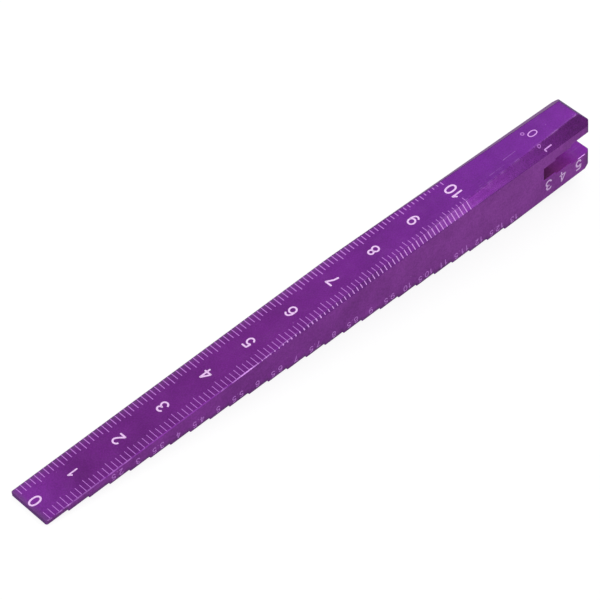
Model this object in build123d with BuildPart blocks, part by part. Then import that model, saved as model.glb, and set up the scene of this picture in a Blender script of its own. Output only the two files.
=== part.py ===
from build123d import *
from math import atan2, cos, radians, sin, sqrt
import os

# Ride height gauge: one milled aluminium bar with a stepped underside, a ruler face, two tapered
# camber facets and an open-ended wrench slot. Millimetres.
# The bar lies as it rests, on its step corners with the ruler face up. X runs from the thin end to the
# thick end, Y from the front side to the back side and Z up, with the origin at the bottom centre.

os.makedirs("parts", exist_ok=True)

# Bar
bar_length = 131.0
bar_width = 9.3
edge_break = 0.15  # along both long edges of the ruler face
thin_corner_break = 0.25  # at the two upright corners of the thin end
outer_edge_break = 0.08  # on every other outer edge

# Steps, each one gauge size thicker than the last
thin_end_thickness = 1.0
step_count = 24
step_rise = 0.5
step_run = 4.5
first_level_length = 4.8

# Camber facets: planes that lean over the ruler face's long edges and sink towards the thick end
front_facet_start = 45.0
front_facet_angle = 1.0
back_facet_start = 70.5
back_facet_angle = 1.7
facet_edge_depth = 0.03  # how deep the facets' sharp edges are dulled

# Wrench slot, in three stages that narrow inwards: the flats that each one takes, and its own depth
large_flats = 5.0
large_flats_depth = 5.1
middle_flats = 4.0
middle_flats_depth = 4.1
small_flats = 3.0
small_flats_depth = 3.1
slot_clearance = 0.1  # over the flats, in every stage

# Bevels of the thick end
end_bevel = 1.4  # above and below
end_corner_bevel = 0.65  # at the two upright corners

# Values that follow
thickness = thin_end_thickness + step_count * step_rise
half_width = bar_width / 2
rest_tilt = atan2(step_rise, step_run)
first_riser_drop = (thin_end_thickness + step_rise) * cos(rest_tilt) - first_level_length * sin(rest_tilt)
corner_retreat = outer_edge_break * sin(rest_tilt)
floor_drop = max(first_riser_drop, thin_end_thickness * cos(rest_tilt)) - corner_retreat
end_reach = bar_length * cos(rest_tilt) + (thickness - end_bevel) * sin(rest_tilt)
slot_stages = (
    (large_flats, large_flats_depth),
    (middle_flats, middle_flats_depth),
    (small_flats, small_flats_depth),
)

# The bar's own directions, and the middle of the ruler face's edge at the thin end
along = Vector(cos(rest_tilt), 0, sin(rest_tilt))
across = Vector(0, 1, 0)
outward = Vector(-sin(rest_tilt), 0, cos(rest_tilt))
scale_zero = Vector(-end_reach / 2, 0, floor_drop)


def bar_direction(x, y, z):
    """A direction given along the bar, across it and out of its ruler face."""
    return along * x + across * y + outward * z


def bar_point(x, y, z):
    """A point measured from scale zero along the bar, across it and out of its ruler face."""
    return scale_zero + bar_direction(x, y, z)


def camber_planes(side, start, angle):
    """The facet's plane, then the two planes that dull its edges. Side is -1 in front and 1 behind."""
    lean = radians(angle)
    level = Vector(0, 0, 1)
    upright = Vector(0, side, 0)
    facet = Vector(sin(lean), side * cos(lean) / sqrt(2), cos(lean) / sqrt(2))
    top_edge = (facet + level).normalized()
    side_edge = (facet + upright).normalized()
    run_out = bar_point(start, side * half_width, 0)
    planes = []
    for normal, depth in ((facet, 0), (top_edge, facet_edge_depth), (side_edge, facet_edge_depth)):
        world_normal = bar_direction(*normal)
        planes.append(Plane(origin=run_out - world_normal * depth, z_dir=world_normal))
    return planes


side_plane = Plane(origin=scale_zero, x_dir=along, z_dir=-across)
length_axis = Axis(scale_zero, along)
outward_axis = Axis(scale_zero, outward)

with BuildPart() as gauge_bar:
    # Side outline: the ruler face on top and the stairs below
    with BuildSketch(side_plane):
        with BuildLine():
            outline = [(bar_length, 0), (0, 0), (0, -thin_end_thickness)]
            for step in range(step_count):
                riser = first_level_length + step * step_run
                level = -thin_end_thickness - step * step_rise
                outline += [(riser, level), (riser, level - step_rise)]
            outline.append((bar_length, -thickness))
            Polyline(*outline, close=True)
        make_face()
    extrude(amount=half_width, both=True)

    # Bevels round the thick end face
    end_face = gauge_bar.faces().sort_by(length_axis)[-1]
    chamfer(end_face.edges().filter_by(Axis.Y), end_bevel)
    end_face = gauge_bar.faces().sort_by(length_axis)[-1]
    chamfer(end_face.edges().filter_by(outward_axis), end_corner_bevel)

    # Wrench slot, open at the thick end and to both sides
    with BuildSketch(side_plane):
        mouth = bar_length
        for flats, depth in slot_stages:
            with Locations((mouth, -thickness / 2)):
                Rectangle(depth, flats + slot_clearance, align=(Align.MAX, Align.CENTER))
            mouth -= depth
    extrude(amount=half_width, both=True, mode=Mode.SUBTRACT)

    # Upright corners of the thin end
    for side in (-1, 1):
        corner = bar_point(thin_corner_break, side * half_width, 0)
        split(bisect_by=Plane(origin=corner, z_dir=bar_direction(-1, side, 0)), keep=Keep.BOTTOM)

    # Outer edges; the corners inside the stairs and the slot stay sharp
    chamfer(gauge_bar.edges().filter_by(lambda edge: not edge.is_interior), outer_edge_break)

    # Long edges of the ruler face, then the camber facets and their dulled edges
    for side, start, angle in (
        (-1, front_facet_start, front_facet_angle),
        (1, back_facet_start, back_facet_angle),
    ):
        edge = bar_point(0, side * (half_width - edge_break), 0)
        split(bisect_by=Plane(origin=edge, z_dir=bar_direction(0, side, 1)), keep=Keep.BOTTOM)
        for plane in camber_planes(side, start, angle):
            split(bisect_by=plane, keep=Keep.BOTTOM)

gauge_bar.part.label = "gauge_bar"
export_step(gauge_bar.part, "parts/gauge_bar.step")

box = gauge_bar.part.bounding_box()
print(f"gauge_bar {gauge_bar.part.volume:.1f} mm3, solids {len(gauge_bar.part.solids())}")
print(f"box x {box.min.X:.3f} {box.max.X:.3f} y {box.min.Y:.3f} {box.max.Y:.3f} z {box.min.Z:.3f} {box.max.Z:.3f}")
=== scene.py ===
import math
import bpy
import numpy as np
from mathutils import Matrix, Vector


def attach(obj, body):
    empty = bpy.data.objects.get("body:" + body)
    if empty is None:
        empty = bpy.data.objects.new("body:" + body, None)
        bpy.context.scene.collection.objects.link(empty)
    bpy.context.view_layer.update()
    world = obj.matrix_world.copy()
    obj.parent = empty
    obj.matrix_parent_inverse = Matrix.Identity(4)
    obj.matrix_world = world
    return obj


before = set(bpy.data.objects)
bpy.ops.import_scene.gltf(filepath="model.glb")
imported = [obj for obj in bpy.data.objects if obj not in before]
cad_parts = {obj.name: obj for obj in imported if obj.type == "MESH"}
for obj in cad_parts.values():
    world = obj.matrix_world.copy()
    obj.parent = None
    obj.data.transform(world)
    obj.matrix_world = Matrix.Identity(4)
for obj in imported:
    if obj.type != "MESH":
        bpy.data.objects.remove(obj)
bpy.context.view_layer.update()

# Ride height gauge: one purple anodised bar with laser-marked scales. The bar is the CAD's own;
# this script gives it its finish and adds the marks, the floor, the light and the camera.

print("frame loaded, gauge_bar is", len(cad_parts["gauge_bar"].data.polygons), "faces")

# The bar's own sizes in mm, which its finish and its marks follow
bar = {
    "length": 131.0,
    "width": 9.3,
    "edgeBreak": 0.15,  # along both long edges of the ruler face
    "outerEdgeBreak": 0.08,
    "thinEndThickness": 1.0,
    "stepCount": 24,
    "stepRise": 0.5,
    "stepRun": 4.5,
    "firstLevelLength": 4.8,
    "endBevel": 1.4,
    "endCornerBevel": 0.65,
    "frontFacetStart": 45.0,
    "frontFacetAngle": 1.0,
    "backFacetStart": 70.5,
    "backFacetAngle": 1.7,
    "facetEdgeDepth": 0.03,  # how deep the facets' sharp edges are dulled
    "dulledLean": 22.5,  # degrees, of the dulled flat away from the ruler face
    "slotHeight": 5.1,  # at the mouth
    "slotDepth": 12.3,  # all three stages
}
millimetre = 0.001
halfWidth = bar["width"] / 2
thickness = bar["thinEndThickness"] + bar["stepCount"] * bar["stepRise"]
tilt = math.atan2(bar["stepRise"], bar["stepRun"])

# The bar's own axes, with scale zero in the middle of the ruler face's edge at the thin end
along = np.array([math.cos(tilt), 0.0, math.sin(tilt)])
across = np.array([0.0, 1.0, 0.0])
outward = np.array([-math.sin(tilt), 0.0, math.cos(tilt)])
endReach = bar["length"] * math.cos(tilt) + (thickness - bar["endBevel"]) * math.sin(tilt)
floorDrop = bar["thinEndThickness"] * math.cos(tilt) - bar["outerEdgeBreak"] * math.sin(tilt)  # to the floor
scaleZero = np.array([-endReach / 2, 0.0, floorDrop])


def barDirection(x, y, z):
    # x along the bar, y across it and z out of its ruler face, added up as one direction
    x, y, z = np.broadcast_arrays(np.asarray(x, float), y, z)
    return x[..., None] * along + y[..., None] * across + z[..., None] * outward


def barPoint(x, y, z):
    # scale zero plus that direction, mm to metres
    return (scaleZero + barDirection(x, y, z)) * millimetre


def linear(hexColour):
    # sRGB hex to linear: c / 12.92 below 0.04045, else ((c + 0.055) / 1.055) ^ 2.4
    channels = [int(hexColour[i:i + 2], 16) / 255 for i in (1, 3, 5)]
    return tuple(c / 12.92 if c <= 0.04045 else ((c + 0.055) / 1.055) ** 2.4 for c in channels) + (1.0,)


def addNode(tree, kind, inputs=None, **settings):
    # Adds a node, sets its properties, then sets or links its inputs
    node = tree.nodes.new(kind)
    for name, value in settings.items():
        setattr(node, name, value)
    for name, value in (inputs or {}).items():
        if isinstance(value, bpy.types.NodeSocket):
            tree.links.new(value, node.inputs[name])
        else:
            node.inputs[name].default_value = value
    return node


def newMaterial(name):
    # A material with an empty node tree
    material = bpy.data.materials.new(name)
    material.use_nodes = True
    material.node_tree.nodes.clear()
    return material, material.node_tree


barFinish = {
    "dyeThinHalf": "#6b207e",
    "dyeThickHalf": "#641b81",  # the dye took a little bluer here
    "dyeThinTip": "#7c2a97",  # and paler at both ends
    "dyeThickTip": "#6b1e88",
    "dyeSide": "#7c3a8d",  # on the sides paler and greyer: painted sheen of the pale floor over the dye
    # paler still towards the thick end, also painted sheen
    "dyeThickSide": "#834692",
    "dyeCut": "#64217a",  # on facets and edge breaks, with painted shade darker towards the thick end
    "dyeCutThickEnd": "#5b186b",
    "dyeDulled": "#74238e",  # on the dulled flats by the facets, paler: a painted highlight along their edges
    "dyeSlotMouth": "#9022ae",  # on the slot's walls, then painted light further in: paler and pinker where the slot lies in shade
    "dyeSlotEnd": "#c268b8",
    "dyeSlotBottom": "#864484",  # and painted shade, darker and greyer, close to its end
    "dyeTopRim": "#6a4f74",  # painted shade: a darker, greyer rim close to an outer edge
    "dyeSideRim": "#453c4a",
    "paintedShadeRimShare": 0.5,
    "paintedShadeRimWidth": 1.3,  # mm
    "dyeBlotch": "#e6e4e6",  # multiplies the dye where it lies thicker
    "grazingDye": "#9350a2",  # the dye colours what glances off the metal too
    "wornAndHighlightColour": "#ecaeff",  # where it is rubbed thin over bright metal, and the painted highlights, sheen and glints
    "roughness": 0.38,
    "cutRoughness": 0.13,  # facets and edge breaks
    "slotRoughness": 0.7,  # the slot cutter chattered
    "mattEdgeRoughness": 0.85,  # lower edge breaks, and the ruler face's back edge as far as its facet
    "roughnessSwing": 0.05,
    "skinWeight": 0.2,
    "skinRoughness": 0.22,
    "grainSize": 0.3,  # mm; the real etch grain is a tenth of this, drawn as coarse as it needs to show
    "grainDepth": 0.0025,  # mm
    "grainShade": 0.16,  # how much lighter and darker the grain makes the dye
    "blotchSize": 7.0,  # mm
    "feedLineSpacing": 0.35,  # mm across the bar, drawn coarser than the cutter left them
    "feedLineLength": 14.0,  # mm
    "feedLineRelief": 0.4,  # their share of the relief, beside the grain's
    "rubLength": 2.6,  # mm, of a rubbed patch
    "haze": 0.016,  # most wear of the patches that lie all over the bar
    "edgeWearAndHighlight": 0.015,  # how far the dye is rubbed off along the ruler face's front edge, partly a painted highlight there
    "edgeRubsAndGlints": [  # more of both, from x to x: rubbed dye, and painted highlight and glints on the edge
        (0.4, 5.5, 0.36), (5.5, 12.5, 0.13), (12.5, 22.0, 0.13), (39.4, 42.0, 0.22), (42.0, 46.5, 0.6),
        (46.5, 56.0, 0.3), (56.0, 66.0, 0.16), (107.7, 109.8, 0.1),
        (115.8, 116.4, 0.25), (120.6, 124.4, 0.25), (127.6, 129.2, 0.25),
    ],
    "edgeHaze": 0.06,  # and beside it on the thick half, where the facet's upper edge is handled most
    "edgeHazeInset": 0.1,  # mm in from the edge
    "edgeHazeReach": 0.4,  # mm to both sides of that
    "facetRubAndPaintedSheen": 0.052,  # and on the front facet: partly rubbed where fingers hold it, partly a painted sheen band
    "facetRubAndSheenMiddle": 99.0,
    "facetRubAndSheenReach": 15.0,
    "speckSpacing": 2.8,  # mm
    "speckRadius": 0.15,  # mm
    "speckShare": 0.28,
    "paintedJawGlint": (127.7, 129.5, 0.7),  # painted glint on the edge over the slot's lower jaw, from x to x, and how far
    "scuffs": [  # hairlines on the ruler face, from x to x at y, and how far they go through the dye
        (107.3, 111.2, -1.98, 0.17), (108.6, 110.4, -2.3, 0.1), (111.7, 115.0, -1.0, 0.3),
        (103.0, 106.0, -2.5, 0.09),
    ],
    "scuffHalfWidth": 0.035,
    "slotMargin": 0.02,  # mm past the slot's walls, so that they count as its own
    "dulledSpread": 0.05,  # how far a normal may be from a dulled flat's
    "leastUpward": 0.5,  # of a normal that counts as facing up
    "fades": {  # where each mask starts to show, and where it is full
        "sideFace": (0.96, 0.99),  # a normal's share across the bar
        "notFlat": (0.3, 0.6),
        "facingDown": (-0.3, -0.6),  # its share out of the ruler face
        "cutFace": (1.1, 1.25),  # both added up, which passes 1 only where a face leans both ways
        "thickHalf": (55.0, 110.0),  # mm along the bar
        "thinTip": (11.0, 2.0),
        "thickTip": (125.0, 130.0),
        # the cut faces' painted shade, darker towards the thick end
        "paintedCutShade": (112.0, 126.0),
        # the slot's painted light further in, and its painted shade close to the end
        "paintedSlotLightFade": (129.0, 118.7),
        "paintedSlotShadeFade": (122.7, 118.7),
        "edgeHazed": (84.0, 102.0),
        "blotched": (0.4, 0.75),  # level of a noise
        "rubbed": (0.42, 0.62),
        "hazed": (0.45, 0.75),
        "grain": (0.3, 0.7),
        "uneven": (0.6, 1.4),  # grain and feed lines added up
    },
}


def barSurface(tree):
    # What the finish reads: x along the bar, y across it and z out of its ruler face, in mm from scale
    # zero, how far a face points upward, sideways, and both added up, and four noises
    coordinates = addNode(tree, "ShaderNodeTexCoord")
    zero = np.array([along @ scaleZero, 0.0, outward @ scaleZero])
    place = addNode(
        tree, "ShaderNodeMapping",
        {"Vector": coordinates.outputs["Object"], "Location": -zero, "Rotation": (0, tilt, 0),
         "Scale": (1 / millimetre,) * 3},
    ).outputs[0]
    facing = addNode(
        tree, "ShaderNodeMapping",
        {"Vector": coordinates.outputs["Normal"], "Rotation": (0, tilt, 0)},
        vector_type="VECTOR",
    )
    placeParts = addNode(tree, "ShaderNodeSeparateXYZ", {"Vector": place})
    facingParts = addNode(tree, "ShaderNodeSeparateXYZ", {"Vector": facing.outputs[0]})
    upward = facingParts.outputs["Z"]
    sideways = addNode(tree, "ShaderNodeMath", {0: facingParts.outputs["Y"]}, operation="ABSOLUTE").outputs[0]
    leaning = addNode(tree, "ShaderNodeMath", {0: sideways, 1: upward}, operation="ADD").outputs[0]
    surface = {"place": place, "upward": upward, "sideways": sideways, "leaning": leaning}
    for axis in "XYZ":
        surface[axis.lower()] = placeParts.outputs[axis]

    # Grain of the etch, lengthwise feed lines of the cutter, blotches of the dye, rubbed patches
    drawnOut = addNode(
        tree, "ShaderNodeMapping",
        {"Vector": place,
         "Scale": (1 / barFinish["feedLineLength"],) + (1 / barFinish["feedLineSpacing"],) * 2},
    ).outputs[0]
    for name, vector, scale, detail, raggedness in (
        ("grain", place, 1 / barFinish["grainSize"], 2.0, 0.5),
        ("feedLines", drawnOut, 1.0, 2.0, 0.5),
        ("blotches", place, 1 / barFinish["blotchSize"], 3.0, 0.5),
        ("rubs", place, 1 / barFinish["rubLength"], 4.0, 0.7),
    ):
        noise = addNode(
            tree, "ShaderNodeTexNoise",
            {"Vector": vector, "Scale": scale, "Detail": detail, "Roughness": raggedness},
        )
        surface[name] = noise.outputs["Fac"]
    return surface


def barMasks(tree, surface):
    # Masks from 0 to 1. Some fade in, some have a sharp border, and from those come the slot's walls and
    # the matt edge breaks, which are the lower ones and the one along the ruler face's back edge.
    masks = {}
    for name, source in (
        ("sideFace", "sideways"), ("notFlat", "sideways"), ("facingDown", "upward"), ("cutFace", "leaning"),
        ("thickHalf", "x"), ("thinTip", "x"), ("thickTip", "x"), ("paintedCutShade", "x"),
        ("paintedSlotLightFade", "x"), ("paintedSlotShadeFade", "x"), ("edgeHazed", "x"),
        ("blotched", "blotches"), ("rubbed", "rubs"),
    ):
        start, end = barFinish["fades"][name]
        masks[name] = addNode(
            tree, "ShaderNodeMapRange", {"Value": surface[source], "From Min": start, "From Max": end},
        ).outputs[0]
    slotHalfHeight = bar["slotHeight"] / 2 + barFinish["slotMargin"]
    slotReach = bar["slotDepth"] + barFinish["slotMargin"]
    dulledSideways = math.sin(math.radians(bar["dulledLean"]))
    for name, source, operation, level, spread in (
        ("slotHeight", "z", "COMPARE", -thickness / 2, slotHalfHeight),
        ("slotLength", "x", "COMPARE", bar["length"], slotReach),
        ("dulled", "sideways", "COMPARE", dulledSideways, barFinish["dulledSpread"]),
        ("behind", "y", "GREATER_THAN", halfWidth - bar["edgeBreak"], 0.0),
        ("beforeFacet", "x", "LESS_THAN", bar["backFacetStart"], 0.0),
        ("inFront", "y", "LESS_THAN", 0.0, 0.0),
        ("facingUp", "upward", "GREATER_THAN", barFinish["leastUpward"], 0.0),
    ):
        masks[name] = addNode(
            tree, "ShaderNodeMath", {0: surface[source], 1: level, 2: spread}, operation=operation,
        ).outputs[0]
    for name, first, operation, second in (
        ("slot", "slotHeight", "MULTIPLY", "slotLength"),
        ("slotInside", "slot", "SUBTRACT", "sideFace"),
        ("slotWall", "slotInside", "SUBTRACT", "cutFace"),
        ("lowEdge", "facingDown", "MULTIPLY", "notFlat"),
        ("backEdge", "behind", "MULTIPLY", "beforeFacet"),
        ("backEdgeBreak", "backEdge", "MULTIPLY", "cutFace"),
        ("mattEdge", "lowEdge", "MAXIMUM", "backEdgeBreak"),
    ):
        masks[name] = addNode(
            tree, "ShaderNodeMath", {0: masks[first], 1: masks[second]}, operation=operation, use_clamp=True,
        ).outputs[0]
    return masks


def edgeRim(tree, surface, masks):
    # Painted shade at the outer edges: a dark rim's share at an edge, smoothly down to nothing at its width
    # from there, and all of it on matt edge breaks. The edges are the thin end, the ruler face's back edge,
    # and on the sides the thick end and the stairs, whose level is thin end + rise * (floor((x - first
    # length) / run) + 1).
    step = addNode(
        tree, "ShaderNodeMath",
        {0: surface["x"], 1: 1 / bar["stepRun"], 2: 1 - bar["firstLevelLength"] / bar["stepRun"]},
        operation="MULTIPLY_ADD",
    )
    step = addNode(tree, "ShaderNodeMath", {0: step.outputs[0]}, operation="FLOOR")
    stairs = addNode(
        tree, "ShaderNodeMath",
        {0: step.outputs[0], 1: bar["stepRise"], 2: bar["thinEndThickness"]}, operation="MULTIPLY_ADD",
    )
    toStairs = addNode(tree, "ShaderNodeMath", {0: surface["z"], 1: stairs.outputs[0]}, operation="ADD")
    toThickEnd = addNode(
        tree, "ShaderNodeMath", {0: bar["length"] - bar["endCornerBevel"], 1: surface["x"]},
        operation="SUBTRACT",
    )
    toSideEdge = addNode(
        tree, "ShaderNodeMath", {0: toStairs.outputs[0], 1: toThickEnd.outputs[0]}, operation="MINIMUM",
    )
    toBack = addNode(tree, "ShaderNodeMath", {0: halfWidth, 1: surface["y"]}, operation="SUBTRACT")
    toEdge = addNode(
        tree, "ShaderNodeMix", {0: masks["sideFace"], 2: toBack.outputs[0], 3: toSideEdge.outputs[0]},
    )
    toEdge = addNode(tree, "ShaderNodeMath", {0: toEdge.outputs[0], 1: surface["x"]}, operation="MINIMUM")
    paintedRim = addNode(
        tree, "ShaderNodeMapRange",
        {"Value": toEdge.outputs[0], "From Min": 0.0, "From Max": barFinish["paintedShadeRimWidth"],
         "To Min": barFinish["paintedShadeRimShare"], "To Max": 0.0},
        interpolation_type="SMOOTHSTEP",
    )
    return addNode(
        tree, "ShaderNodeMath", {0: paintedRim.outputs[0], 1: masks["mattEdge"]}, operation="MAXIMUM",
    ).outputs[0]


def purpleDye(tree, surface, masks):
    # Dye along the bar, then face by face with painted sheen, highlight, light and shade,
    # then the painted shade of its rims, blotches and grain
    dyes = {}
    for name, mask, below, above in (  # above over below, each a dye of the finish or an earlier mix
        # the sides' dye with its painted sheen
        ("side", "thickHalf", "dyeSide", "dyeThickSide"),
        # the cut faces' painted shade towards the thick end
        ("cut", "paintedCutShade", "dyeCut", "dyeCutThickEnd"),
        # the dulled flats' painted highlight
        ("dulled", "dulled", "cut", "dyeDulled"),
        # painted shade of the rims along the outer edges
        ("paintedRim", "sideFace", "dyeTopRim", "dyeSideRim"),
        # the slot's walls: painted light further in, painted shade close to its end
        ("slotWalls", "paintedSlotLightFade", "dyeSlotMouth", "dyeSlotEnd"),
        ("slot", "paintedSlotShadeFade", "slotWalls", "dyeSlotBottom"),
        ("halves", "thickHalf", "dyeThinHalf", "dyeThickHalf"),
        ("thinTip", "thinTip", "halves", "dyeThinTip"),
        ("bothTips", "thickTip", "thinTip", "dyeThickTip"),
        ("withSides", "sideFace", "bothTips", "side"),
        ("withCuts", "cutFace", "withSides", "dulled"),
        # painted shade over the rims
        ("withPaintedRims", "paintedRim", "withCuts", "paintedRim"),
        ("withSlot", "slotWall", "withPaintedRims", "slot"),
    ):
        ends = [dyes[end] if end in dyes else linear(barFinish[end]) for end in (below, above)]
        dyes[name] = addNode(
            tree, "ShaderNodeMix", {0: masks[mask], 6: ends[0], 7: ends[1]}, data_type="RGBA",
        ).outputs[2]
    grainStart, grainEnd = barFinish["fades"]["grain"]
    grainShade = addNode(
        tree, "ShaderNodeMapRange",
        {"Value": surface["grain"], "From Min": grainStart, "From Max": grainEnd,
         "To Min": 1 - barFinish["grainShade"], "To Max": 1 + barFinish["grainShade"]},
    )
    dye = dyes["withSlot"]
    for share, shade in ((masks["blotched"], linear(barFinish["dyeBlotch"])), (1.0, grainShade.outputs[0])):
        dye = addNode(
            tree, "ShaderNodeMix", {0: share, 6: dye, 7: shade}, data_type="RGBA", blend_type="MULTIPLY",
        ).outputs[2]
    return dye


def rubbedDye(tree, surface, masks):
    # How far the colour turns pale, from 0 to 1, for rubbed dye and for painted highlights and glints: most
    # of it along the ruler face's front edge, which past the facet's start is the facet's upper edge, at
    # y = leg - width / 2, where leg = (x - start) * tan(angle) * sqrt(2)
    x, y, z = (surface[axis] for axis in "xyz")
    facetSlope = math.tan(math.radians(bar["frontFacetAngle"])) * math.sqrt(2)
    leg = addNode(
        tree, "ShaderNodeMapRange",
        {"Value": x, "From Min": bar["frontFacetStart"], "From Max": bar["length"],
         "To Max": (bar["length"] - bar["frontFacetStart"]) * facetSlope},
    )
    fromEdge = addNode(tree, "ShaderNodeMath", {0: y, 1: leg.outputs[0]}, operation="SUBTRACT").outputs[0]
    atEdge = addNode(
        tree, "ShaderNodeMath",
        {0: fromEdge, 1: bar["edgeBreak"] / 2 - halfWidth, 2: bar["edgeBreak"]}, operation="COMPARE",
    )
    edgeWearAndHighlight = barFinish["edgeWearAndHighlight"]
    for start, end, share in barFinish["edgeRubsAndGlints"]:
        rub = addNode(
            tree, "ShaderNodeMath", {0: x, 1: (start + end) / 2, 2: (end - start) / 2}, operation="COMPARE",
        )
        edgeWearAndHighlight = addNode(
            tree, "ShaderNodeMath", {0: rub.outputs[0], 1: share, 2: edgeWearAndHighlight}, operation="MULTIPLY_ADD",
        ).outputs[0]
    edgeWearAndHighlight = addNode(tree, "ShaderNodeMath", {0: edgeWearAndHighlight, 1: atEdge.outputs[0]}, operation="MULTIPLY")

    # Wear and painted sheen on the front facet, then both broken up into patches
    fromHold = addNode(tree, "ShaderNodeMath", {0: x, 1: barFinish["facetRubAndSheenMiddle"]}, operation="SUBTRACT")
    fromHold = addNode(tree, "ShaderNodeMath", {0: fromHold.outputs[0]}, operation="ABSOLUTE")
    facetRubAndPaintedSheen = addNode(
        tree, "ShaderNodeMapRange",
        {"Value": fromHold.outputs[0], "From Min": 0.0, "From Max": barFinish["facetRubAndSheenReach"],
         "To Min": barFinish["facetRubAndPaintedSheen"], "To Max": 0.0},
        interpolation_type="SMOOTHSTEP",
    )
    facetRubAndPaintedSheen = addNode(
        tree, "ShaderNodeMath", {0: facetRubAndPaintedSheen.outputs[0], 1: masks["inFront"]}, operation="MULTIPLY",
    )
    wearAndHighlight = addNode(tree, "ShaderNodeMath", {0: edgeWearAndHighlight.outputs[0], 1: facetRubAndPaintedSheen.outputs[0]}, operation="ADD")
    for name in ("rubbed", "cutFace"):
        wearAndHighlight = addNode(tree, "ShaderNodeMath", {0: wearAndHighlight.outputs[0], 1: masks[name]}, operation="MULTIPLY")

    # Haze all over, and along the inner side of the facet's upper edge
    hazeStart, hazeEnd = barFinish["fades"]["hazed"]
    haze = addNode(
        tree, "ShaderNodeMapRange",
        {"Value": surface["rubs"], "From Min": hazeStart, "From Max": hazeEnd, "To Max": barFinish["haze"]},
    )
    offEdge = addNode(
        tree, "ShaderNodeMath", {0: fromEdge, 1: halfWidth - barFinish["edgeHazeInset"]}, operation="ADD",
    )
    offEdge = addNode(tree, "ShaderNodeMath", {0: offEdge.outputs[0]}, operation="ABSOLUTE")
    edgeHaze = addNode(
        tree, "ShaderNodeMapRange",
        {"Value": offEdge.outputs[0], "From Min": 0.0, "From Max": barFinish["edgeHazeReach"],
         "To Min": barFinish["edgeHaze"], "To Max": 0.0},
        interpolation_type="SMOOTHSTEP",
    )
    for name in ("edgeHazed", "facingUp", "rubbed"):
        edgeHaze = addNode(
            tree, "ShaderNodeMath", {0: edgeHaze.outputs[0], 1: masks[name]}, operation="MULTIPLY",
        )
    for more in (haze, edgeHaze):
        wearAndHighlight = addNode(tree, "ShaderNodeMath", {0: wearAndHighlight.outputs[0], 1: more.outputs[0]}, operation="ADD")

    # Painted glint on the slot's lower jaw, specks and hairlines
    glintStart, glintEnd, glintShare = barFinish["paintedJawGlint"]
    lowerJaw = -(thickness + bar["slotHeight"]) / 2
    glint = masks["cutFace"]
    for value, level, reach in (
        (x, (glintStart + glintEnd) / 2, (glintEnd - glintStart) / 2),
        (z, lowerJaw, 2 * bar["outerEdgeBreak"]),
        (y, -halfWidth, 2 * bar["outerEdgeBreak"]),
    ):
        near = addNode(tree, "ShaderNodeMath", {0: value, 1: level, 2: reach}, operation="COMPARE")
        glint = addNode(
            tree, "ShaderNodeMath", {0: glint, 1: near.outputs[0]}, operation="MULTIPLY",
        ).outputs[0]
    wearAndHighlight = addNode(
        tree, "ShaderNodeMath", {0: glint, 1: glintShare, 2: wearAndHighlight.outputs[0]}, operation="MULTIPLY_ADD",
    )
    specks = addNode(
        tree, "ShaderNodeTexVoronoi",
        {"Vector": surface["place"], "Scale": 1 / barFinish["speckSpacing"]},
    )
    speck = addNode(
        tree, "ShaderNodeMapRange",
        {"Value": specks.outputs["Distance"], "From Min": 0.0,
         "From Max": barFinish["speckRadius"] / barFinish["speckSpacing"],
         "To Min": barFinish["speckShare"], "To Max": 0.0},
    )
    wearAndHighlight = addNode(tree, "ShaderNodeMath", {0: wearAndHighlight.outputs[0], 1: speck.outputs[0]}, operation="MAXIMUM")
    for start, end, middle, share in barFinish["scuffs"]:
        scuff = masks["rubbed"]
        for value, level, reach in (
            (x, (start + end) / 2, (end - start) / 2), (y, middle, barFinish["scuffHalfWidth"]),
        ):
            near = addNode(tree, "ShaderNodeMath", {0: value, 1: level, 2: reach}, operation="COMPARE")
            scuff = addNode(
                tree, "ShaderNodeMath", {0: scuff, 1: near.outputs[0]}, operation="MULTIPLY",
            ).outputs[0]
        wearAndHighlight = addNode(
            tree, "ShaderNodeMath", {0: scuff, 1: share, 2: wearAndHighlight.outputs[0]}, operation="MULTIPLY_ADD",
        )
    return wearAndHighlight.outputs[0]


def unevenRoughness(tree, surface, masks):
    # Roughness from face to face, broken up by grain and feed lines
    roughness = barFinish["roughness"]
    for mask, level in (
        ("cutFace", "cutRoughness"), ("slotWall", "slotRoughness"), ("mattEdge", "mattEdgeRoughness"),
    ):
        roughness = addNode(
            tree, "ShaderNodeMix", {0: masks[mask], 2: roughness, 3: barFinish[level]},
        ).outputs[0]
    unevenStart, unevenEnd = barFinish["fades"]["uneven"]
    uneven = addNode(
        tree, "ShaderNodeMath", {0: surface["grain"], 1: surface["feedLines"]}, operation="ADD",
    )
    uneven = addNode(
        tree, "ShaderNodeMapRange",
        {"Value": uneven.outputs[0], "From Min": unevenStart, "From Max": unevenEnd,
         "To Min": -barFinish["roughnessSwing"], "To Max": barFinish["roughnessSwing"]},
    )
    return addNode(
        tree, "ShaderNodeMath", {0: roughness, 1: uneven.outputs[0]}, operation="ADD",
    ).outputs[0]


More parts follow.
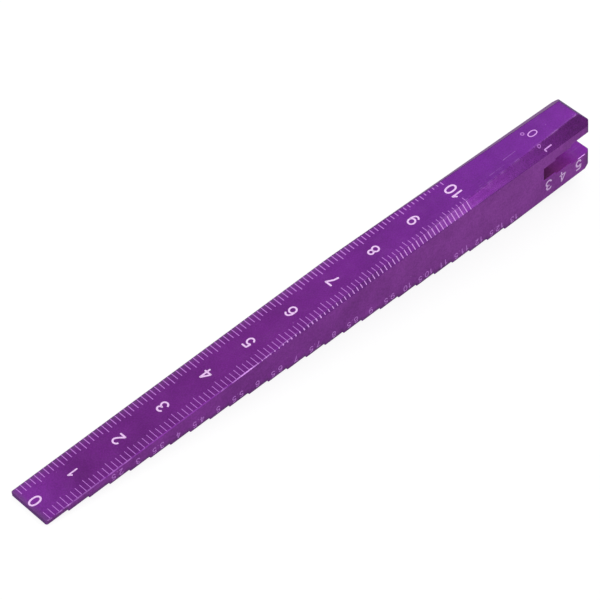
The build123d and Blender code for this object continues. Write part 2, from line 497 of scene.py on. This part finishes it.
def dyedAnodisedAluminium():
    # Milled 6000-series bar, satin etched, dyed purple and sealed: a deep coloured metal glow under the
    # weak white sheen of a clear oxide skin, sharper where edges and facets were cut, with the dye rubbed
    # thin along the ruler face's front edge, and painted sheen, highlights, glints and shade in its colour
    material, tree = newMaterial("Dyed anodised aluminium")
    surface = barSurface(tree)
    masks = barMasks(tree, surface)
    # painted shade: a dark rim along the outer edges
    masks["paintedRim"] = edgeRim(tree, surface, masks)
    # the pale colour over the dye where it is rubbed thin, and where highlights, sheen and glints are painted
    colour = addNode(
        tree, "ShaderNodeMix",
        {0: rubbedDye(tree, surface, masks), 6: purpleDye(tree, surface, masks),
         7: linear(barFinish["wornAndHighlightColour"])},
        data_type="RGBA",
    )
    relief = addNode(
        tree, "ShaderNodeMix",
        {0: barFinish["feedLineRelief"], 2: surface["grain"], 3: surface["feedLines"]},
    )
    bump = addNode(
        tree, "ShaderNodeBump",
        {"Height": relief.outputs[0], "Strength": 1.0, "Distance": barFinish["grainDepth"] * millimetre},
    )
    shader = addNode(
        tree, "ShaderNodeBsdfPrincipled",
        {
            "Base Color": colour.outputs[2],
            "Metallic": 1.0,
            "Roughness": unevenRoughness(tree, surface, masks),
            "Specular Tint": linear(barFinish["grazingDye"]),
            "Coat Weight": barFinish["skinWeight"],
            "Coat Roughness": barFinish["skinRoughness"],
            "Normal": bump.outputs[0],
        },
    )
    addNode(tree, "ShaderNodeOutputMaterial", {"Surface": shader.outputs[0]})
    return material


markFinish = {
    "bright": "#f5cbfe",  # the marks' colours, from nearly all the dye gone to much of it left
    "pale": "#dcb3e9",
    "lilac": "#e8a5fa",
    "faint": "#c275da",
    "mottleSize": 0.22,  # mm; the beam's own track is 0.03, drawn as coarse as it needs to show
    "dyeLeft": "#8c44a2",  # what shows through where the beam took less
    "mostDyeLeft": 0.3,
    "dyeLeftFade": (0.48, 0.72),  # level of the mottle from which it shows, and where it is full
    "roughness": 0.6,
    "pitDepth": 0.002,  # mm
}


def laserMarkedOxide(name, colour):
    # The laser bleaches the dye in the oxide: chalky and slightly mottled, from nearly white down to a
    # pale lilac where it burned less
    material, tree = newMaterial(name)
    coordinates = addNode(tree, "ShaderNodeTexCoord")
    mottle = addNode(
        tree, "ShaderNodeTexNoise",
        {"Vector": coordinates.outputs["Object"], "Scale": 1 / (markFinish["mottleSize"] * millimetre),
         "Detail": 2.0},
    )
    fadeStart, fadeEnd = markFinish["dyeLeftFade"]
    dyeLeft = addNode(
        tree, "ShaderNodeMapRange",
        {"Value": mottle.outputs["Fac"], "From Min": fadeStart, "From Max": fadeEnd,
         "To Max": markFinish["mostDyeLeft"]},
    )
    bleached = addNode(
        tree, "ShaderNodeMix",
        {0: dyeLeft.outputs[0], 6: linear(colour), 7: linear(markFinish["dyeLeft"])},
        data_type="RGBA",
    )
    bump = addNode(
        tree, "ShaderNodeBump",
        {"Height": mottle.outputs["Fac"], "Strength": 1.0, "Distance": markFinish["pitDepth"] * millimetre},
    )
    shader = addNode(
        tree, "ShaderNodeBsdfPrincipled",
        {"Base Color": bleached.outputs[2], "Metallic": 0.0, "Roughness": markFinish["roughness"],
         "Normal": bump.outputs[0]},
    )
    addNode(tree, "ShaderNodeOutputMaterial", {"Surface": shader.outputs[0]})
    return material


anodised = dyedAnodisedAluminium()
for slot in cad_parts["gauge_bar"].material_slots:
    slot.material = anodised
print("bar finished")


# Laser marks are strokes carried along their centre lines
mark = {
    "proud": 0.008,  # mm above the face, the swelling of a laser mark
    "sunk": 0.01,  # mm below it, so that no gap shows
    "crown": 0.5,  # share of the width that is level on top
    "shoulder": 0.6,  # height of the sides, as a share of the middle's
    "endShare": (0.0, 0.12, 0.3),  # where the end rings stand, in stroke widths from the end
    "endWidth": (0.6, 0.86, 1.0),  # and how wide they are
    "curvePoints": 28,
}


def strokeMesh(path, normals, width, closed):
    # A profile carried along a path. Each ring is path + side * a * width / 2 + normal * b, where side is
    # tangent x normal and (a, b) are the six corners of a low crowned section. Open strokes narrow at
    # both ends and are closed there by one face. path and normals are in bar mm.
    lengths = np.linalg.norm(np.diff(path, axis=0), axis=1)
    reach = np.concatenate([[0.0], np.cumsum(lengths)])
    share = np.ones(len(path))
    if not closed:
        ends = np.array(mark["endShare"]) * width
        inner = reach[(reach > ends[-1]) & (reach < reach[-1] - ends[-1])]
        stations = np.concatenate([ends, inner, reach[-1] - ends[::-1]])
        taper = np.array(mark["endWidth"])
        share = np.concatenate([taper, np.ones(len(inner)), taper[::-1]])
        path = np.stack([np.interp(stations, reach, path[:, i]) for i in range(3)], axis=1)
        normals = np.stack([np.interp(stations, reach, normals[:, i]) for i in range(3)], axis=1)
        tangents = np.gradient(path, axis=0)
    else:
        path = path[:-1]
        normals = normals[:-1]
        share = share[:-1]
        tangents = np.roll(path, -1, axis=0) - np.roll(path, 1, axis=0)
    tangents /= np.linalg.norm(tangents, axis=1, keepdims=True)
    sides = np.cross(tangents, normals)
    sides /= np.linalg.norm(sides, axis=1, keepdims=True)
    low, high = -mark["sunk"], mark["proud"]
    crown, shoulder = mark["crown"], mark["shoulder"] * high
    section = np.array([(-1, low), (-1, shoulder), (-crown, high), (crown, high), (1, shoulder), (1, low)])
    offsetAcross = section[None, :, 0, None] * share[:, None, None] * width / 2 * sides[:, None, :]
    offsetUp = section[None, :, 1, None] * normals[:, None, :]
    rings = path[:, None, :] + offsetAcross + offsetUp
    ringCount, corners = rings.shape[:2]
    index = np.arange(ringCount * corners).reshape(ringCount, corners)
    nextRing = np.roll(index, -1, axis=0) if closed else index[1:]
    thisRing = index if closed else index[:-1]
    quads = np.stack(
        [thisRing, np.roll(thisRing, -1, axis=1), np.roll(nextRing, -1, axis=1), nextRing], axis=-1
    ).reshape(-1, 4)
    faces = quads.tolist()
    if not closed:
        faces += [index[0][::-1].tolist(), index[-1].tolist()]
    return rings.reshape(-1, 3), faces


def markPiece(name, strokes, material):
    # Joins strokes, each (path, normals, width, closed) in bar mm, into one mesh that rides on the bar
    points, faces = [], []
    for path, normals, width, closed in strokes:
        strokePoints, strokeFaces = strokeMesh(path, normals, width, closed)
        start = sum(len(p) for p in points)
        points.append(strokePoints)
        faces += [[start + corner for corner in face] for face in strokeFaces]
    joined = np.concatenate(points)
    mesh = bpy.data.meshes.new(name)
    mesh.from_pydata(barPoint(*joined.T).tolist(), [], faces)
    mesh.materials.append(material)
    mesh.update()
    piece = bpy.data.objects.new(name, mesh)
    bpy.context.collection.objects.link(piece)
    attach(piece, "root")


def arc(centre, radii, start, end):
    # Ellipse arc: centre + radii * (cos t, sin t) with t from start to end in degrees
    t = np.radians(np.linspace(start, end, mark["curvePoints"]))
    return np.stack([centre[0] + radii[0] * np.cos(t), centre[1] + radii[1] * np.sin(t)], axis=1)


def bend(first, control, last):
    # Quadratic curve: (1 - t)^2 first + 2 t (1 - t) control + t^2 last
    t = np.linspace(0, 1, mark["curvePoints"] // 2)[:, None]
    return (1 - t) ** 2 * np.array(first) + 2 * t * (1 - t) * np.array(control) + t ** 2 * np.array(last)


def squareOval(radii, power):
    # Superellipse: |u / radius|^power + |v / radius|^power = 1
    t = np.linspace(0, 2 * np.pi, 2 * mark["curvePoints"])
    shape = np.stack([np.cos(t), np.sin(t)], axis=1)
    return np.sign(shape) * np.abs(shape) ** (2 / power) * np.array(radii)


# Digits as centre lines, u to the right and v up, in mm at the ruler's own height
digit = {"height": 2.56, "stroke": 0.345, "advance": 1.87, "pointAdvance": 0.5}  # the point's share of it
digitLines = {
    "0": [squareOval((0.67, 1.11), 2.3)],
    "1": [np.array([(0.22, 1.24), (0.22, -1.24)]), bend((0.19, 1.15), (0.02, 0.68), (-0.42, 0.45))],
    "2": [np.concatenate([
        arc((0, 0.58), (0.62, 0.56), 180, -25), bend((0.56, 0.34), (0.36, -0.12), (-0.66, -1.04)),
    ]), np.array([(-0.72, -1.04), (0.72, -1.04)])],
    "3": [
        np.concatenate([arc((-0.06, 0.66), (0.56, 0.48), 170, -90), [(-0.2, 0.17)]]),
        arc((-0.04, -0.43), (0.64, 0.61), 90, -175),
    ],
    "4": [
        np.array([(0.27, 1.27), (0.27, -1.27)]),
        np.array([(0.27, 1.22), (-0.76, -0.5)]),
        np.array([(-0.84, -0.455), (0.8, -0.455)]),
    ],
    "5": [
        np.array([(0.64, 1.05), (-0.5, 1.05)]),
        np.array([(-0.43, 1.12), (-0.58, 0.05)]),
        arc((-0.03, -0.4), (0.6, 0.7), 142, -166),
    ],
    "6": [arc((-0.07, -0.415), (0.66, 0.705), 0, 360), arc((0, -0.02), (0.73, 1.11), 195, 40)],
    "7": [
        np.array([(-0.85, 1.0), (0.78, 1.0)]),
        np.array([(0.66, 1.0), (0.28, 0.42), (-0.11, -0.245), (-0.33, -1.27)]),
    ],
    "8": [arc((-0.055, 0.62), (0.5, 0.49), 0, 360), arc((-0.075, -0.48), (0.655, 0.61), 0, 360)],
    # the 1 on the facet, whose flag is straight
    "I": [np.array([(0.22, 1.24), (0.22, -1.24)]), np.array([(0.2, 1.14), (-0.45, 0.8)])],
    ".": [np.array([(0.0, -1.05), (0.0, -1.27)])],
}
digitLines["9"] = [-line for line in digitLines["6"]]
closedDigits = {"0": (0,), "6": (0,), "8": (0, 1), "9": (0,)}  # which of their lines run round


def textStrokes(text, centre, right, up, normal, height, stroke, advance=None):
    # Lays the digits side by side about centre: centre + right * u + up * v, scaled to the height
    scale = height / digit["height"]
    advance = advance or digit["advance"] * scale
    widths = [advance * (digit["pointAdvance"] if c == "." else 1.0) for c in text]
    starts = np.cumsum([0.0] + widths[:-1]) - sum(widths) / 2
    centre, right, up, normal = (np.array(v, float) for v in (centre, right, up, normal))
    strokes = []
    for character, start, width in zip(text, starts, widths):
        for number, line in enumerate(digitLines[character]):
            place = line * scale
            path = centre + (place[:, :1] + start + width / 2) * right + place[:, 1:] * up
            closed = number in closedDigits.get(character, ())
            strokes.append((path, np.tile(normal, (len(path), 1)), stroke, closed))
    return strokes


def ringStrokes(centre, right, up, normal, diameter, stroke):
    # The degree sign: centre + (right * cos t + up * sin t) * (diameter - stroke) / 2
    circle = arc((0, 0), ((diameter - stroke) / 2,) * 2, 0, 360)
    centre, right, up, normal = (np.array(v, float) for v in (centre, right, up, normal))
    path = centre + circle[:, :1] * right + circle[:, 1:] * up
    return [(path, np.tile(normal, (len(path), 1)), stroke, True)]


def facetLeg(x, start, angle):
    # How far the camber facet has cut in from the side at x: (x - start) * tan(angle) * sqrt(2)
    return max(0.0, (x - start) * math.tan(math.radians(angle)) * math.sqrt(2))


# How the digits read, as right, up and the way their face points: on the ruler face with their tops
# towards the thin end, and upside down on the front side
faceUp = np.array([0.0, 0.0, 1.0])
rulerReading = ((0, 1, 0), (-1, 0, 0), faceUp)
sideReading = ((-1, 0, 0), (0, 0, -1), (0, -1, 0))

lean = math.radians(bar["frontFacetAngle"])
frontFacetNormal = np.array([math.sin(lean), -math.cos(lean) / math.sqrt(2), math.cos(lean) / math.sqrt(2)])
dulledReach = bar["facetEdgeDepth"] / math.sin(math.radians(bar["dulledLean"]))  # sharp edge to dulled flat

ticks = {
    "count": 100,
    "backWidth": 0.155,
    "lastBackWidth": 0.2,  # both rows come out bolder towards the thick end
    "boldFrom": 45,
    "boldTo": 80,
    "frontWidth": 0.12,
    "lastFrontWidth": 0.14,
    "facetWidth": 0.185,
    "firstBead": 46,  # from here on a bright bead sits on the broken edge, and grows down the facet
    "beadLeg": 0.45,  # as long as the facet is narrower than this, the stroke reaches over its dulled edges
    "beadInset": 0.005,
    "beadWidth": 0.26,
    "backEnd": 2.8,  # where each row ends inside, across the bar, and where its long ticks do
    "backLongEnd": 2.4,
    "frontEnd": -2.67,
    "frontLongEnd": -2.25,
    "longEvery": 5,
}


def rulerTicks():
    # One stroke a millimetre along each long edge of the ruler face. In front, past the facet's start, a
    # brighter stroke goes on down the facet.
    onFace, onFacet = [], []
    for x in range(1, ticks["count"] + 1):
        isLong = x % ticks["longEvery"] == 0
        leg = max(facetLeg(x, bar["backFacetStart"], bar["backFacetAngle"]), bar["edgeBreak"])
        outer = halfWidth - leg - dulledReach * (leg > bar["edgeBreak"])
        inner = ticks["backLongEnd"] if isLong else ticks["backEnd"]
        path = np.array([(x, inner, 0), (x, outer, 0)])
        backWidth, frontWidth = (
            np.interp(x, (ticks["boldFrom"], ticks["boldTo"]), (ticks[first], ticks[last]))
            for first, last in (("backWidth", "lastBackWidth"), ("frontWidth", "lastFrontWidth"))
        )
        onFace.append((path, np.tile(faceUp, (2, 1)), backWidth, False))
        inner = ticks["frontLongEnd"] if isLong else ticks["frontEnd"]
        leg = facetLeg(x, bar["frontFacetStart"], bar["frontFacetAngle"])
        path = np.array([(x, inner, 0), (x, -halfWidth + max(leg + dulledReach, bar["edgeBreak"]), 0)])
        onFace.append((path, np.tile(faceUp, (2, 1)), frontWidth, False))
        if x >= ticks["firstBead"]:
            isBead = leg < ticks["beadLeg"]
            drop = ticks["beadInset"] if isBead else dulledReach / math.sqrt(2)
            leg = max(leg, bar["edgeBreak"])
            path = np.array([(x, -halfWidth + leg - drop, -drop), (x, -halfWidth + drop, drop - leg)])
            width = ticks["beadWidth"] if isBead else ticks["facetWidth"]
            onFacet.append((path, np.tile(frontFacetNormal, (2, 1)), width, False))
    return onFace, onFacet


rulerDigits = {
    "zeroAt": 1.56,
    "shift": 0.12,  # mm past their centimetres
    "middle": 0.1,
    "oneOfTen": -1.09,
    "noughtOfTen": 0.78,
    "boldStroke": 0.37,  # the 7 and the 10 came out bolder, the 1 finer and shorter
    "fineStroke": 0.29,
    "oneAt": 9.97,
    "oneHeight": 2.26,
}


def rulerDigitStrokes():
    # Centimetre digits down the middle, their tops towards the thin end
    strokes = []
    for number in range(10):
        evenly = 10 * number + rulerDigits["shift"]
        x = {0: rulerDigits["zeroAt"], 1: rulerDigits["oneAt"]}.get(number, evenly)
        height = rulerDigits["oneHeight"] if number == 1 else digit["height"]
        stroke = {1: rulerDigits["fineStroke"], 7: rulerDigits["boldStroke"]}.get(number, digit["stroke"])
        centre = (x, rulerDigits["middle"], 0)
        strokes += textStrokes(str(number), centre, *rulerReading, height, stroke)
    for character, place in (("1", "oneOfTen"), ("0", "noughtOfTen")):
        centre = (100 + rulerDigits["shift"], rulerDigits[place], 0)
        strokes += textStrokes(
            character, centre, *rulerReading, digit["height"], rulerDigits["boldStroke"],
        )
    return strokes


degrees = {
    "noughtAt": (120.33, -0.11),  # along and across the bar
    "noughtHeight": 2.2,
    "noughtStroke": 0.22,
    "noughtRing": (118.94, 1.11),
    "oneAt": (120.48, 1.72),  # along the bar, and down the facet from its upper edge
    "oneHeight": 2.0,
    "oneStroke": 0.26,
    "oneRing": (119.0, 0.39),
    "ringDiameter": 0.8,
    "ringStroke": 0.18,
}


def degreeStrokes():
    # 0 and 1 degree: the first on the ruler face, the second down on the camber facet. Returns the
    # digits, then their rings.
    upTheFacet = np.array([0, 1, 1]) / math.sqrt(2)
    towardsThinEnd = np.cross(frontFacetNormal, upTheFacet)
    towardsThinEnd *= -np.sign(towardsThinEnd[0])
    facetReading = (upTheFacet, towardsThinEnd, frontFacetNormal)

    def onFacet(x, down):
        # from the facet's upper edge at x, that far down the facet
        leg = facetLeg(x, bar["frontFacetStart"], bar["frontFacetAngle"])
        return np.array([x, -halfWidth + leg, 0]) - upTheFacet * down

    nought = (*degrees["noughtAt"], 0)
    one = onFacet(*degrees["oneAt"])
    digits = textStrokes("0", nought, *rulerReading, degrees["noughtHeight"], degrees["noughtStroke"])
    digits += textStrokes("I", one, *facetReading, degrees["oneHeight"], degrees["oneStroke"])
    ring = (degrees["ringDiameter"], degrees["ringStroke"])
    rings = ringStrokes((*degrees["noughtRing"], 0), *rulerReading, *ring)
    rings += ringStrokes(onFacet(*degrees["oneRing"]), *facetReading, *ring)
    return digits, rings


stepLabels = {
    "first": 2.5,
    "last": 13.0,
    "firstAt": 15.6,
    "spacing": 4.533,  # the marking ran a little wider than the steps
    "aboveStep": 1.15,
    "height": 1.45,
    "advance": 1.12,
    "stroke": 0.17,
    "lastStroke": 0.195,
}


def stepLabelStrokes():
    # Each step's height in mm on the front side, upside down, so that it reads with the ruler face down,
    # at x = first + number * spacing and z = above step - level
    strokes = []
    count = round((stepLabels["last"] - stepLabels["first"]) / bar["stepRise"]) + 1
    for number in range(count):
        level = stepLabels["first"] + number * bar["stepRise"]
        x = stepLabels["firstAt"] + number * stepLabels["spacing"]
        centre = (x, -halfWidth, stepLabels["aboveStep"] - level)
        stroke = np.interp(number, (0, count - 1), (stepLabels["stroke"], stepLabels["lastStroke"]))
        strokes += textStrokes(
            f"{level:g}", centre, *sideReading, stepLabels["height"], stroke, stepLabels["advance"],
        )
    return strokes


slotLabels = {  # along the bar, out of the ruler face, and stroke
    "5": (127.8, -10.7, 0.4),
    "4": (123.55, -10.46, 0.31),
    "3": (119.86, -9.99, 0.37),
}


def slotLabelStrokes():
    # The flats that each stage of the slot takes, on its lower jaw, upside down like the step labels
    strokes = []
    for character, (x, z, stroke) in slotLabels.items():
        strokes += textStrokes(character, (x, -halfWidth, z), *sideReading, digit["height"], stroke)
    return strokes


brightMark = laserMarkedOxide("Laser marked oxide", markFinish["bright"])
lilacMark = laserMarkedOxide("Lilac laser marked oxide", markFinish["lilac"])
paleMark = laserMarkedOxide("Thinly laser marked oxide", markFinish["pale"])
faintMark = laserMarkedOxide("Faintly laser marked oxide", markFinish["faint"])
tickStrokes, facetStrokes = rulerTicks()
degreeDigits, degreeRings = degreeStrokes()
markPiece("ruler_ticks", tickStrokes, faintMark)
markPiece("facet_ticks", facetStrokes, lilacMark)
markPiece("ruler_digits", rulerDigitStrokes(), brightMark)
markPiece("degree_digits", degreeDigits, lilacMark)
markPiece("degree_rings", degreeRings, faintMark)
markPiece("step_labels", stepLabelStrokes(), faintMark)
markPiece("slot_labels", slotLabelStrokes(), paleMark)


floorLook = {
    "halfSide": 6.0,  # m
    "shadowShare": 0.18,  # how much of the paper that the camera sees is lit, and so takes the shadow
    "glow": 0.855,  # the rest, up to just over white
    "albedo": 0.8,  # of the plain paper that other rays meet
}


def paleFloor():
    # Seamless white paper. The camera and mirrors see it as paper just over white, with the soft shadow
    # still in it; other rays see plain diffuse paper.
    half = floorLook["halfSide"]
    corners = [(-half, -half, 0), (half, -half, 0), (half, half, 0), (-half, half, 0)]
    mesh = bpy.data.meshes.new("floor")
    mesh.from_pydata(corners, [], [(0, 1, 2, 3)])
    floor = bpy.data.objects.new("floor", mesh)
    bpy.context.collection.objects.link(floor)
    material, tree = newMaterial("Seamless white paper")
    path = addNode(tree, "ShaderNodeLightPath")
    seen = addNode(
        tree, "ShaderNodeMath",
        {0: path.outputs["Is Camera Ray"], 1: path.outputs["Is Glossy Ray"]}, operation="MAXIMUM",
    )
    seen = addNode(
        tree, "ShaderNodeMath",
        {0: seen.outputs[0], 1: path.outputs["Is Transmission Ray"]}, operation="MAXIMUM",
    )
    plain = addNode(tree, "ShaderNodeBsdfDiffuse", {"Color": (floorLook["albedo"],) * 3 + (1,)})
    shaded = addNode(tree, "ShaderNodeBsdfDiffuse", {"Color": (floorLook["shadowShare"],) * 3 + (1,)})
    glow = addNode(tree, "ShaderNodeEmission", {"Color": (1, 1, 1, 1), "Strength": floorLook["glow"]})
    white = addNode(tree, "ShaderNodeAddShader", {0: shaded.outputs[0], 1: glow.outputs[0]})
    both = addNode(
        tree, "ShaderNodeMixShader",
        {0: seen.outputs[0], 1: plain.outputs[0], 2: white.outputs[0]},
    )
    addNode(tree, "ShaderNodeOutputMaterial", {"Surface": both.outputs[0]})
    mesh.materials.append(material)


paleFloor()

studio = {
    "horizon": 0.5,  # the world's level at the horizon and overhead
    "overhead": 1.05,
    "boxes": [  # name, azimuth, elevation, distance in m, size in m, radiance
        ("back right softbox", 116, 42, 1.6, (0.9, 0.9), 1.8),
        ("facet strip", 33.0, 32.2, 1.6, (0.06, 0.3), 2.1),
        ("edge strip", 21.2, 34.0, 1.6, (0.22, 0.3), 1.3),
    ],
}


def skyDirection(azimuth, elevation):
    # Azimuth 0 is the -Y side, 90 the +X side: (sin a cos e, -cos a cos e, sin e)
    a, e = math.radians(azimuth), math.radians(elevation)
    return Vector((math.sin(a) * math.cos(e), -math.cos(a) * math.cos(e), math.sin(e)))


def softLight():
    # A pale dome whose level is horizon + (overhead - horizon) * z of the direction, and softboxes, each
    # of radiance * pi * area watts
    world = bpy.data.worlds.new("studio")
    bpy.context.scene.world = world
    world.use_nodes = True
    tree = world.node_tree
    tree.nodes.clear()
    direction = addNode(tree, "ShaderNodeTexCoord")
    height = addNode(tree, "ShaderNodeSeparateXYZ", {"Vector": direction.outputs["Generated"]})
    level = addNode(
        tree, "ShaderNodeMapRange",
        {"Value": height.outputs["Z"], "To Min": studio["horizon"], "To Max": studio["overhead"]},
    )
    sky = addNode(tree, "ShaderNodeBackground", {"Color": (1, 1, 1, 1), "Strength": level.outputs[0]})
    addNode(tree, "ShaderNodeOutputWorld", {"Surface": sky.outputs[0]})
    for name, azimuth, elevation, distance, size, radiance in studio["boxes"]:
        lamp = bpy.data.lights.new(name, "AREA")
        lamp.shape = "RECTANGLE"
        lamp.size, lamp.size_y = size
        lamp.energy = radiance * math.pi * size[0] * size[1]
        box = bpy.data.objects.new(name, lamp)
        towards = skyDirection(azimuth, elevation)
        turn = towards.to_track_quat("Z", "Y").to_matrix().to_4x4()
        box.matrix_world = Matrix.Translation(towards * distance) @ turn
        bpy.context.collection.objects.link(box)


softLight()

photoView = {
    "aim": (-0.0039394, 0.0, 0.009102),  # m
    "distance": 0.558436,
    "azimuth": -44.0959,  # degrees
    "elevation": 44.0456,
    "roll": -1.6026,  # the picture turned about its middle
    "lens": 191.7144,  # mm
    "sensor": 36.0,
    "clipStart": 0.01,  # m
}


def photoCamera():
    # Stands at aim + direction * distance, looks back at the aim, and is turned by the roll
    lens = bpy.data.cameras.new("camera")
    lens.lens = photoView["lens"]
    lens.sensor_width = photoView["sensor"]
    lens.clip_start = photoView["clipStart"]
    camera = bpy.data.objects.new("camera", lens)
    towards = skyDirection(photoView["azimuth"], photoView["elevation"])
    roll = Matrix.Rotation(math.radians(-photoView["roll"]), 4, "Z")
    turn = towards.to_track_quat("Z", "Y").to_matrix().to_4x4() @ roll
    stand = Vector(photoView["aim"]) + towards * photoView["distance"]
    camera.matrix_world = Matrix.Translation(stand) @ turn
    bpy.context.collection.objects.link(camera)
    bpy.context.scene.camera = camera


photoCamera()
bpy.context.scene.view_settings.view_transform = "Standard"
print("floor, light and camera placed")
